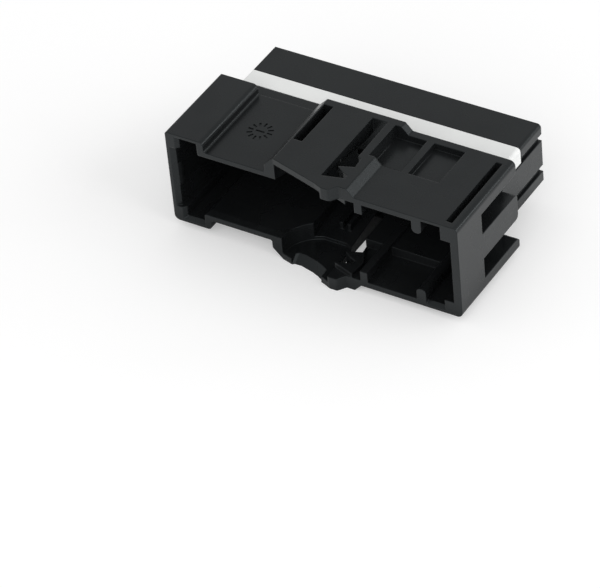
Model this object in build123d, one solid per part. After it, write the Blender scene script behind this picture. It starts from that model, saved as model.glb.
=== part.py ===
from build123d import *
import os

# Sizes in millimetres, x along the connector, y from the mouth to the wires, z up
# Terminal grid
columns = 11
pitch = 2.54
column_wall = 0.44
row_wall = 0.43
cavity_height = 2.42
tab_hole = 0.7
cavity_end_wall = 0.26
# Rear block with the terminal cavities
end_wall = 0.86
cover_plate = 0.715
block_corner = 0.4
block_edge_round = 0.1
plate_length = 4.02
retainer_gap = 2.11
flange_length = 1.9
bead_length = 0.3
bead_height = 0.2
end_groove_low = 1.45
end_groove_high = 2.2
end_groove_depth = 0.4
hook_clearance = 0.2
# Underside of the block
shelf_drop = 0.35
shelf_inset = 0.3
drain_width = 0.45
drain_inset = 0.92
# Shroud around the mouth
back_wall = 0.74
mouth_depth = 9.3
left_ledge = 1.08
right_ledge = 1.7
mouth_over_block = 0.04
wall = 0.75
channel_wall = 0.71
flat_wall = 0.6
flat_rise = 1.12
ridge_rise = 0.8
long_edge_round = 0.55
top_left_round = 0.2
left_box_width = 4.2
ridge_left = -5.05
ridge_chamfer = 1.05
ridge_right = 4.45
ramp_width = 0.75
right_reach = 1.04
nose_reach = 1.85
# Latch trough behind the ridge
trough_left = -2.3
trough_right = 3.1
trough_roof = 1.05
trough_roof_back = 1.67
trough_slope_start = 3.5
trough_slope_end = 7.6
recess_radius = 3.7
recess_centre = -0.27
recess_roof = 0.7
lip_slope = 1.3
window_left = 1.3
lower_window_left = 1.65
tooth_thickness = 1.9
guide_width = 0.35
guide_pitch = 0.85
guide_depth = 1.0
guide_start = 5.0
# Cored pockets in the top and bottom walls
core_slot_left = -3.87
core_slot_width = 1.0
core_slot_front = 3.4
pocket_start = 4.27
pocket_depth = 0.7
bump_wall = 0.85
pocket_1_left = 3.8
pocket_1_width = 3.35
pocket_2_left = 7.9
pocket_2_width = 3.3
long_slot_width = 0.7
long_slot_inset = 0.85
long_slot_lead = 0.69
# Slots in the right-hand end
end_slot_low = 1.42
end_slot_high = 3.74
end_slot_depth = 1.67
end_slot_front = 3.4
rail_round = 0.5
# Small ribs in the mouth
key_rib_left = 5.15
key_rib_width = 0.8
round_rib_left = 11.2
round_rib_width = 1.0
corner_block_left = 0.55
corner_block_bevel = 0.35
corner_block_right = 1.0
lower_corner_drop = 0.3
lead_in = 0.3
left_lead_in = 0.45
lead_in_length = 0.4
channel_lead_in = 0.17
channel_lead_length = 0.75
inner_corner = 0.45
# Retainer comb
leg_size = 0.9
lug_height = 0.8
lug_rise = 0.15
fit = 0.05
# Date insert
date_radius = 1.3
date_from_left = 7.35
date_from_rim = 5.12
date_depth = 0.1
date_line = 0.2
date_ticks = 12

# Positions that follow from the sizes
cavity_width = pitch - column_wall
row_pitch = cavity_height + row_wall
block_length = pitch * (columns - 1) + cavity_width + 2 * end_wall
shroud_length = block_length + left_ledge + right_ledge
left = -shroud_length / 2
right = shroud_length / 2
block_left = left + left_ledge
block_right = right - right_ledge
grid_centre = (block_left + block_right) / 2
column_x = [grid_centre + pitch * (i - (columns - 1) / 2) for i in range(columns)]
wall_x = [x + pitch / 2 for x in column_x[:-1]]

cavity_top = row_pitch / 2 + cavity_height / 2
block_top = cavity_top + cover_plate
mouth_top = block_top + mouth_over_block
channel_top = mouth_top + channel_wall
flat_top = channel_top + flat_rise
ridge_top = flat_top + ridge_rise
flat_inner = flat_top - flat_wall
trough_top = ridge_top - trough_roof
pocket_floor = flat_top - pocket_depth
bump_low = pocket_floor - bump_wall
shelf_top = block_top - shelf_drop

shroud_back = mouth_depth + back_wall
flange_back = shroud_back + flange_length
plate_front = flange_back + retainer_gap
block_back = plate_front + plate_length
cavity_front = shroud_back + cavity_end_wall
leg_hole = leg_size + 2 * fit
leg_y = (flange_back + plate_front) / 2 + 0.1
left_step = left + left_box_width
ramp_foot = ridge_right + ramp_width


def block(x0, x1, y0, y1, z0, z1):
    return Pos((x0 + x1) / 2, (y0 + y1) / 2, (z0 + z1) / 2) * Box(x1 - x0, y1 - y0, z1 - z0)


def outline(points, radii):
    return make_face(FilletPolyline(*points, radius=radii, close=True))


# A plan outline (x, y) raised from one height to another
def plan(points, low, high, radii=0):
    return Pos(0, 0, low) * extrude(outline(points, radii), high - low)


# A cross-section (x, z) drawn out along y
def section(points, front, back, radii=0):
    return Pos(0, back, 0) * extrude(Plane.XZ * outline(points, radii), back - front)


# The shape together with its mirror image below the middle plane
def both(shape):
    return [shape, mirror(shape, Plane.XY)]


# A profile (y, z) drawn out along x from one place to another
def bar(points, x0, x1):
    return Pos(x0, 0, 0) * extrude(Plane.YZ * make_face(Polyline(*points, close=True)), x1 - x0)


# A wedge that opens the inside of a wall towards the rim
def lead(x0, x1, front, inner, rise, length):
    return bar([(front - 1, inner - 0.2), (front - 1, inner + rise), (front, inner + rise),
                (front + length, inner), (front + length, inner - 0.2)], x0, x1)


# Outside of the shroud: the cross-section cut to the plan outline of the mouth's rim
top_edge = [
    (left, flat_top), (left_step, flat_top), (left_step, channel_top), (ridge_left, channel_top),
    (ridge_left, ridge_top - ridge_chamfer), (ridge_left + ridge_chamfer, ridge_top),
    (ridge_right, ridge_top), (ramp_foot, flat_top), (right, flat_top),
]
edge_radii = [top_left_round, 0.5, 0.2, 0.2, 0.15, 0.15, 0.15, 0.15, long_edge_round]
lower_radii = edge_radii[:0:-1] + [long_edge_round]
bottom_edge = [(x, -z) for x, z in reversed(top_edge)]
body = section(top_edge + bottom_edge, -nose_reach - 1, shroud_back, edge_radii + lower_radii)
rim = [
    (left, 0), (-4.05, 0), (-1.5, -0.7), (1.3, -1.48), (2.2, -nose_reach), (3.0, -nose_reach),
    (3.6, -right_reach), (right, -right_reach), (right, shroud_back), (left, shroud_back),
]
housing = body & plan(rim, -ridge_top - 1, ridge_top + 1, [0, 0, 0, 0, 0.3, 0.35, 0.1, 0, 0, 0])

# Space inside the mouth
open_front = -nose_reach - 2
mouth_left = left + wall + 0.05
mouth_right = right - wall - 0.05
left_box_inner = left_step - 0.72
space = block(mouth_left, mouth_right, open_front, mouth_depth, -mouth_top, mouth_top)
space += block(mouth_left, left_box_inner, open_front, mouth_depth, -flat_inner, flat_inner)
inner_edges = space.edges().filter_by(Axis.Y).filter_by_position(Axis.Z, -mouth_top - 0.01, mouth_top + 0.01)
inner_edges = inner_edges.filter_by_position(Axis.X, left_box_inner - 0.01, left_box_inner + 0.01)
space = fillet(inner_edges, inner_corner)
space += block(trough_right - 0.1, mouth_right, open_front, mouth_depth, -flat_inner, flat_inner)
space += block(trough_left, trough_right, open_front, mouth_depth, -trough_top, trough_top)
space += Pos(recess_centre, 0, 0) * Cylinder(recess_radius, 2 * (ridge_top - recess_roof))
lead_x = (mouth_left + left_box_inner) / 2
lead_width = left_box_inner - mouth_left
wide_outline = Rectangle(lead_width + left_lead_in, 2 * (flat_inner + lead_in))
wide_rim = Pos(lead_x - left_lead_in / 2, 0, 0) * Rot(90, 0, 0) * wide_outline
narrow_rim = Pos(lead_x, lead_in_length, 0) * Rot(90, 0, 0) * Rectangle(lead_width, 2 * flat_inner)
space += loft([wide_rim, narrow_rim])
space += both(lead(left_box_inner - 0.1, -1.0, 0, mouth_top, channel_lead_in, channel_lead_length))
space += both(lead(round_rib_left, mouth_right, -right_reach, flat_inner, lead_in, lead_in_length))

# Ribs and lands that stand in that space
lands = []
bump_end = pocket_2_left + pocket_2_width + 0.15
lands += both(block(trough_right, bump_end, 3.55, mouth_depth, bump_low, ridge_top))
slope = [(trough_slope_start, trough_top), (trough_slope_end, ridge_top - trough_roof_back),
         (mouth_depth, ridge_top - trough_roof_back), (mouth_depth, ridge_top), (trough_slope_start, ridge_top)]
lands.append(bar(slope, trough_left, window_left))
lands.append(mirror(bar(slope, trough_left, lower_window_left), Plane.XY))
tooth = [(1.94, -0.25), (4.2, -right_reach + 0.01), (4.45, 0.8), (3.8, 2.15), (3.4, 3.5), (1.94, 3.5)]
lands += both(plan(tooth, ridge_top - tooth_thickness, ridge_top))
key_rib_right = key_rib_left + key_rib_width
lands += both(block(key_rib_left, key_rib_right, open_front, mouth_depth, mouth_top + 0.1, ridge_top))
rib_section = [
    (round_rib_left, ridge_top), (round_rib_left, mouth_top - 0.05),
    (round_rib_left + round_rib_width, mouth_top - 0.05), (round_rib_left + round_rib_width, ridge_top),
]
lands += both(section(rib_section, open_front, mouth_depth, [0, 0.45, 0.45, 0]))
corner_left = mouth_left + corner_block_left
corner_plan = [(left, 0), (corner_left - corner_block_bevel, 0), (corner_left, corner_block_bevel),
               (corner_left, mouth_depth), (left, mouth_depth)]
lands += both(plan(corner_plan, mouth_top + 0.15, ridge_top))
corner_right = mouth_right - corner_block_right
lands.append(block(corner_right, right, open_front, mouth_depth, mouth_top + 0.05, ridge_top))
lands.append(block(corner_right, right, open_front, mouth_depth, -ridge_top, -mouth_top - lower_corner_drop))
nose = [(2.0, -nose_reach), (3.0, -nose_reach), (3.6, -right_reach), (4.23, -right_reach), (1.94, -0.25)]
lands += both(plan(nose, ridge_top - 1.35, ridge_top))
for side in (-1, 1):
    guide_x = 0.025 + side * guide_pitch / 2
    guide = block(guide_x - guide_width / 2, guide_x + guide_width / 2, guide_start, mouth_depth,
                  trough_top - guide_depth, ridge_top)
    lands += both(guide)
slot_wall = right - end_slot_depth - wall
lands.append(block(slot_wall, right, end_slot_front - wall, mouth_depth, -flat_top, flat_top))
lug = [(left, 0.3), (mouth_left, 0.4), (mouth_left + 0.15, 0.75), (mouth_left + 0.15, 1.1), (left, 1.1)]
lands.append(plan(lug, -1.15, 1.4))
housing -= space - lands

# Notch in the lower lip: the floor of the recess slopes down to its edge
lip_notch = [
    (-2.85, -0.36), (-2.6, -0.16), (-1.85, -0.15), (-1.25, -0.31), (-0.45, -0.5), (0.25, -0.78),
    (1.0, -1.18), (1.1, -2.5), (-2.85, -2.5),
]
lip_low = Pos(0, -lip_slope / 2, -ridge_top - 0.5) * outline(lip_notch, 0)
lip_high = Pos(0, lip_slope, 1 - ridge_top) * outline(lip_notch, 0)
housing -= loft([lip_low, lip_high])

# Cores, pockets and the latch window, the same above and below
core_slot = block(core_slot_left, core_slot_left + core_slot_width, core_slot_front, mouth_depth - 0.1,
                  mouth_top + wall, ridge_top + 1)
window_right = [
    (3.55, 0.3), (3.6, 0.75), (2.95, 1.03), (2.05, 1.6), (3.59, 2.15), (3.45, 3.5), (3.05, 3.62),
    (trough_right - 0.14, mouth_depth),
]
upper_window = [(window_left, -0.25)] + window_right + [(window_left, mouth_depth)]
lower_window = [(lower_window_left, -0.25)] + window_right + [(lower_window_left, mouth_depth)]
housing -= plan(upper_window, bump_low, ridge_top + 1)
housing -= mirror(plan(lower_window, bump_low, ridge_top + 1), Plane.XY)
pocket_end = mouth_depth - 0.05
pocket_1_right = pocket_1_left + pocket_1_width
pocket_2_right = pocket_2_left + pocket_2_width
pocket_1 = block(pocket_1_left, pocket_1_right, pocket_start, pocket_end, pocket_floor, ridge_top + 1)
pocket_2 = block(pocket_2_left, pocket_2_right, pocket_start, pocket_end, pocket_floor, ridge_top + 1)
long_slot_x = right - long_slot_inset
long_slot = block(long_slot_x - long_slot_width, long_slot_x, -right_reach + long_slot_lead, mouth_depth - 0.1,
                  mouth_top + wall, ridge_top + 1)
end_slot = block(right - end_slot_depth, right + 1, end_slot_front, shroud_back + 1, end_slot_low, end_slot_high)
for recess in (core_slot, pocket_1, pocket_2, long_slot, end_slot):
    housing -= both(recess)
back_edges = housing.edges().filter_by(Axis.X).filter_by_position(Axis.Y, shroud_back - 0.01, shroud_back + 0.01)
rail_ends = back_edges.filter_by_position(Axis.X, right - end_slot_depth, right)
rail_ends = rail_ends.filter_by_position(Axis.Z, -end_slot_high - 0.1, end_slot_high + 0.1)
housing = fillet(rail_ends, rail_round)

# Flange, its bead, and the rear block
section_box = [
    (block_left, block_top), (block_right, block_top), (block_right, -block_top), (block_left, -block_top),
]
corner_radii = [block_edge_round, block_corner, block_edge_round, block_edge_round]
rear_block = section(section_box, mouth_depth, block_back, corner_radii)
bead_box = [(x + (bead_height if x > 0 else -bead_height), z + (bead_height if z > 0 else -bead_height))
            for x, z in section_box]
housing += [rear_block & block(left, right, shroud_back - 0.1, block_back, -ridge_top, ridge_top),
            section(bead_box, shroud_back - 0.1, shroud_back + bead_length, [r + bead_height for r in corner_radii])]

# Terminal cavities with a tab hole through the back wall
cuts = []
for x in column_x:
    for z in (-row_pitch / 2, row_pitch / 2):
        cuts.append(block(x - cavity_width / 2, x + cavity_width / 2, cavity_front, block_back + 1,
                          z - cavity_height / 2, z + cavity_height / 2))
        cuts.append(block(x - tab_hole / 2, x + tab_hole / 2, mouth_depth - 1, cavity_front + 1,
                          z - tab_hole / 2, z + tab_hole / 2))

# Grooves along both ends of the block
left_groove = (block_left - 1, block_left + end_groove_depth)
right_groove = (block_right - end_groove_depth, block_right + 1)
for x0, x1 in (left_groove, right_groove):
    cuts += both(block(x0, x1, flange_back, block_back + 1, end_groove_low, end_groove_high))
    cuts.append(block(x0, x1, flange_back, plate_front, end_groove_low, block_top + 1))

# Seat of the retainer across the top, with a hole for each leg
cuts.append(block(block_left - 1, block_right + 1, flange_back, plate_front, cavity_top, block_top + 1))
for x in wall_x:
    cuts.append(block(x - leg_hole / 2, x + leg_hole / 2, leg_y - leg_hole / 2, leg_y + leg_hole / 2,
                      -block_top - 1, block_top))

# Shelf and drain slot across the underside
drain_back = flange_back + drain_width
cuts.append(block(block_left + shelf_inset, block_right - shelf_inset, flange_back, plate_front,
                  -block_top - 1, -shelf_top))
cuts.append(block(block_left + drain_inset, block_right - drain_inset, flange_back, drain_back,
                  -block_top - 1, -cavity_top + 0.2))

# Date insert on the upper channel: sunk ticks round a pointer
date_x = left + date_from_left
marks = [Box(date_radius * 0.72, date_line, 2 * date_depth)]
for i in range(date_ticks):
    tick = Pos(date_radius * 0.79, 0, 0) * Box(date_radius * 0.42, date_line, 2 * date_depth)
    marks.append(Rot(0, 0, i * 360 / date_ticks) * tick)
cuts += [Pos(date_x, date_from_rim, channel_top) * mark for mark in marks]
housing -= cuts

# Retainer: a bar with hooked ends, flush with the block, and a leg between each two columns
hook = end_groove_depth - fit
foot = end_groove_low + hook_clearance
comb_points = [
    (block_left, foot), (block_left, block_top), (block_right, block_top), (block_right, foot),
    (block_right - hook, foot), (block_right - hook, cavity_top), (block_left + hook, cavity_top),
    (block_left + hook, foot),
]
comb_radii = [0, block_edge_round, block_corner, 0, 0, 0, 0, 0]
retainer = section(comb_points, flange_back + fit, plate_front - fit, comb_radii)
legs = []
leg_tip = lug_rise - row_pitch / 2
for x in wall_x:
    legs.append(block(x - column_wall / 2, x + column_wall / 2, leg_y - leg_size / 2, leg_y + leg_size / 2,
                      leg_tip, cavity_top + 0.1))
    for z in (leg_tip, leg_tip + row_pitch):
        legs.append(block(x - leg_size / 2, x + leg_size / 2, leg_y - leg_size / 2, leg_y + leg_size / 2,
                          z, z + lug_height))
retainer += legs

# Move to the middle of the footprint, with the lowest face at z = 0, and write the files
placed = Pos(0, (nose_reach - block_back) / 2, ridge_top)
os.makedirs("parts", exist_ok=True)
export_step(placed * housing, "parts/connector_housing.step")
export_step(placed * retainer, "parts/terminal_retainer.step")
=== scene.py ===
import bpy
from mathutils import Matrix, Vector

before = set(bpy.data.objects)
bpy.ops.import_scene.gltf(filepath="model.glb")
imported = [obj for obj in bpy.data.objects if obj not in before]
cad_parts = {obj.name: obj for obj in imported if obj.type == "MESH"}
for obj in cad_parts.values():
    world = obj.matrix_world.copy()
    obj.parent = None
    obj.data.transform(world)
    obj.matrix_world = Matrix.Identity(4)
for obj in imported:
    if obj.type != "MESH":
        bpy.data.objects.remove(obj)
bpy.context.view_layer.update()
scene = bpy.context.scene
print("frame loaded")


# One call adds a node, sets its values and joins its inputs
def addNode(tree, kind, inputs=None, **values):
    node = tree.nodes.new(kind)
    for name, value in values.items():
        setattr(node, name, value)
    for socket, value in (inputs or {}).items():
        if isinstance(value, bpy.types.NodeSocket):
            tree.links.new(value, node.inputs[socket])
        else:
            node.inputs[socket].default_value = value
    return node


def newMaterial(name):
    material = bpy.data.materials.new(name)
    material.use_nodes = True
    material.node_tree.nodes.clear()
    return material, material.node_tree


# Edges rounded by a small bevel. Inside the crisp spot, a circle in plan, they stay sharp, because its
# marks are finer than the bevel: normal = the mesh's own where the distance from the circle's middle is
# below its radius, and the bevel's elsewhere
def softEdges(tree, place, look):
    edge = addNode(tree, "ShaderNodeBevel", {"Radius": look["edgeRadius"]}, samples=8).outputs["Normal"]
    if "crispSpot" not in look:
        return edge
    x, y, radius = look["crispSpot"]
    flat = addNode(tree, "ShaderNodeVectorMath", {0: place, 1: (1, 1, 0)}, operation="MULTIPLY")
    away = addNode(tree, "ShaderNodeVectorMath", {0: flat.outputs["Vector"], 1: (x, y, 0)},
                   operation="DISTANCE")
    near = addNode(tree, "ShaderNodeMath", {0: away.outputs["Value"], 1: radius}, operation="LESS_THAN")
    sharp = addNode(tree, "ShaderNodeNewGeometry").outputs["Normal"]
    # Inputs 0, 4 and 5 are the factor and the two vectors, output 1 is the mixed vector
    mixed = addNode(tree, "ShaderNodeMix", data_type="VECTOR")
    for socket, value in ((0, near.outputs["Value"]), (4, edge), (5, sharp)):
        tree.links.new(value, mixed.inputs[socket])
    return mixed.outputs[1]


# Moulded plastic: colour = dark to pale by slow clouds, roughness = its middle value moved by the same
# clouds, bump = fine spark-eroded grain plus a faint waviness on top of the softened edges
def mouldedPlastic(look):
    material, tree = newMaterial(look["name"])
    place = addNode(tree, "ShaderNodeTexCoord").outputs["Object"]
    clouds = addNode(tree, "ShaderNodeTexNoise", {
        "Vector": place, "Scale": look["cloudScale"], "Detail": 3.0})
    low, high = look["cloudRange"]
    colour = addNode(tree, "ShaderNodeValToRGB", {"Fac": clouds.outputs["Fac"]})
    for stop, position, tone in zip(colour.color_ramp.elements, (low, high), ("darkColour", "paleColour")):
        stop.position = position
        stop.color = (*look[tone], 1)
    rough = addNode(tree, "ShaderNodeMapRange", {
        "Value": clouds.outputs["Fac"], "From Min": low, "From Max": high,
        "To Min": look["roughness"] - look["roughnessSpread"],
        "To Max": look["roughness"] + look["roughnessSpread"]})
    grain = addNode(tree, "ShaderNodeTexNoise", {
        "Vector": place, "Scale": look["grainScale"], "Detail": 2.0})
    fine = addNode(tree, "ShaderNodeBump", {
        "Height": grain.outputs["Fac"], "Strength": look["grainStrength"], "Distance": look["grainHeight"],
        "Normal": softEdges(tree, place, look)})
    wave = addNode(tree, "ShaderNodeTexNoise", {
        "Vector": place, "Scale": look["waveScale"], "Detail": 1.0})
    bump = addNode(tree, "ShaderNodeBump", {
        "Height": wave.outputs["Fac"], "Strength": look["waveStrength"], "Distance": look["waveHeight"],
        "Normal": fine.outputs["Normal"]})
    shader = addNode(tree, "ShaderNodeBsdfPrincipled", {
        "Base Color": colour.outputs["Color"], "Roughness": rough.outputs["Result"], "IOR": look["ior"],
        "Specular IOR Level": look["gloss"], "Specular Tint": (*look["glossTint"], 1),
        "Normal": bump.outputs["Normal"]})
    addNode(tree, "ShaderNodeOutputMaterial", {"Surface": shader.outputs["BSDF"]})
    return material


def dress(node, material):
    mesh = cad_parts[node].data
    for i in range(len(mesh.materials)):
        mesh.materials[i] = material


# The black housing, with the date insert as its crisp spot
housingLook = {
    "name": "moulded black",
    "darkColour": (0.0075, 0.0083, 0.0088),
    "paleColour": (0.0105, 0.0114, 0.012),
    "roughness": 0.27,
    "roughnessSpread": 0.05,
    "ior": 1.5,
    "gloss": 0.29,
    "glossTint": (0.88, 0.97, 1.0),
    "cloudScale": 260.0,
    "cloudRange": (0.3, 0.7),
    "edgeRadius": 0.00014,
    "crispSpot": (-0.00865, -0.00299, 0.0014),  # x, y, radius
    "grainScale": 9000.0,
    "grainStrength": 0.25,
    "grainHeight": 0.00001,
    "waveScale": 500.0,
    "waveStrength": 0.15,
    "waveHeight": 0.00004,
}
dress("connector_housing", mouldedPlastic(housingLook))
print("housing dressed")

# The white retainer
retainerLook = {
    "name": "moulded white",
    "darkColour": (0.83, 0.84, 0.83),
    "paleColour": (0.87, 0.88, 0.87),
    "roughness": 0.45,
    "roughnessSpread": 0.05,
    "ior": 1.5,
    "gloss": 0.4,
    "glossTint": (1.0, 1.0, 1.0),
    "cloudScale": 260.0,
    "cloudRange": (0.3, 0.7),
    "edgeRadius": 0.00008,
    "grainScale": 9000.0,
    "grainStrength": 0.2,
    "grainHeight": 0.00001,
    "waveScale": 500.0,
    "waveStrength": 0.1,
    "waveHeight": 0.00003,
}
dress("terminal_retainer", mouldedPlastic(retainerLook))
print("retainer dressed")

# A wide pale floor
floorLook = {
    "half": 6.0,
    "colour": (0.76, 0.76, 0.76),
    "nearLift": 0.32,
    "farLift": 0.54,
    "fade": (0.2, 1.1),  # distances between which nearLift turns into farLift
    "footprint": (0.016, 0.01, 1.0),  # half the object's length and width
    "paintedShadeEdge": (1.0, 1.16),  # shares of it between which the painted shade under the object, seen in reflections, gives way to the white lift
}


# Floor paint: the diffuse colour keeps the object's shadow, and a lift of plain white is added where the
# camera, gloss or glass sees it. lift = nearLift to farLift by distance from the middle, because the lamps
# fade out there. Reflections get it only outside the object's footprint, so inside it they see a painted
# shade under the object: where the larger of |x| / a and |y| / b passes the edge shares of the look
def floorPaint(look):
    material, tree = newMaterial("pale floor")
    place = addNode(tree, "ShaderNodeTexCoord").outputs["Object"]
    sight = addNode(tree, "ShaderNodeLightPath").outputs

    def math(operation, first, second):
        return addNode(tree, "ShaderNodeMath", {0: first, 1: second}, operation=operation).outputs["Value"]

    share = addNode(tree, "ShaderNodeVectorMath", {0: place, 1: look["footprint"]}, operation="DIVIDE")
    spread = addNode(tree, "ShaderNodeVectorMath", {0: share.outputs["Vector"]}, operation="ABSOLUTE")
    sides = addNode(tree, "ShaderNodeSeparateXYZ", {"Vector": spread.outputs["Vector"]}).outputs
    edgeLow, edgeHigh = look["paintedShadeEdge"]
    # clear is 0 inside the footprint, where reflections see a painted shade under the object, and 1 outside
    # it
    clear = addNode(tree, "ShaderNodeMapRange", {
        "Value": math("MAXIMUM", sides["X"], sides["Y"]), "From Min": edgeLow, "From Max": edgeHigh})
    mirrored = math("MAXIMUM", sight["Is Glossy Ray"], sight["Is Transmission Ray"])
    seen = math("MAXIMUM", sight["Is Camera Ray"], math("MULTIPLY", mirrored, clear.outputs["Result"]))
    away = addNode(tree, "ShaderNodeVectorMath", {0: place}, operation="LENGTH")
    fadeLow, fadeHigh = look["fade"]
    fade = addNode(tree, "ShaderNodeMapRange", {
        "Value": away.outputs["Value"], "From Min": fadeLow, "From Max": fadeHigh,
        "To Min": look["nearLift"], "To Max": look["farLift"]})
    glow = addNode(tree, "ShaderNodeEmission", {"Strength": math("MULTIPLY", seen, fade.outputs["Result"])})
    plain = addNode(tree, "ShaderNodeBsdfDiffuse", {"Color": (*look["colour"], 1)})
    both = addNode(tree, "ShaderNodeAddShader", {0: plain.outputs["BSDF"], 1: glow.outputs["Emission"]})
    addNode(tree, "ShaderNodeOutputMaterial", {"Surface": both.outputs["Shader"]})
    return material


half = floorLook["half"]
floorMesh = bpy.data.meshes.new("studioFloor")
floorCorners = [(-half, -half, 0), (half, -half, 0), (half, half, 0), (-half, half, 0)]
floorMesh.from_pydata(floorCorners, [], [(0, 1, 2, 3)])
floorMesh.materials.append(floorPaint(floorLook))
floor = bpy.data.objects.new("studioFloor", floorMesh)
scene.collection.objects.link(floor)

# World: soft and even
worldLook = {"colour": (1.0, 1.0, 1.0), "strength": 0.61}
world = bpy.data.worlds.new("soft studio")
scene.world = world
world.use_nodes = True
world.node_tree.nodes.clear()
sky = addNode(world.node_tree, "ShaderNodeBackground", {
    "Color": (*worldLook["colour"], 1), "Strength": worldLook["strength"]})
addNode(world.node_tree, "ShaderNodeOutputWorld", {"Surface": sky.outputs["Background"]})


# A soft square lamp that looks at the middle of the object
def addLamp(look):
    light = bpy.data.lights.new(look["name"], "AREA")
    light.shape = "SQUARE"
    light.size = look["size"]
    light.energy = look["energy"]
    lamp = bpy.data.objects.new(look["name"], light)
    scene.collection.objects.link(lamp)
    lamp.location = look["place"]
    lamp.rotation_mode = "QUATERNION"
    lamp.rotation_quaternion = Vector(look["place"]).to_track_quat("Z", "Y")


lampLooks = [
    {"name": "right panel", "place": (0.95, 0.08, 0.42), "size": 0.9, "energy": 5.0},
    {"name": "edge panel", "place": (0.73, 0.61, 0.31), "size": 0.24, "energy": 0.6},  # for ramps and edges
    {"name": "front panel", "place": (0.2, -0.9, 0.6), "size": 1.0, "energy": 4.0},
]
for lampLook in lampLooks:
    addLamp(lampLook)
print("stage lit")

# Camera, fitted to the edges of the object in the photograph
cameraLook = {
    "place": (0.162024, -0.246948, 0.23683),
    "right": (0.856063, 0.510926, -0.078173),
    "up": (-0.276673, 0.580717, 0.76565),
    "back": (0.436587, -0.633817, 0.638489),
    "lens": 238.5,
    "sensor": 36.0,
    "clip": (0.01, 10.0),
}
cameraData = bpy.data.cameras.new("camera")
cameraData.sensor_width = cameraLook["sensor"]
cameraData.lens = cameraLook["lens"]
cameraData.clip_start, cameraData.clip_end = cameraLook["clip"]
camera = bpy.data.objects.new("camera", cameraData)
scene.collection.objects.link(camera)
columns = [cameraLook[name] for name in ("right", "up", "back", "place")]
camera.matrix_world = Matrix([*zip(*columns), (0, 0, 0, 1)])
scene.camera = camera
scene.view_settings.view_transform = "Standard"
print("camera placed")
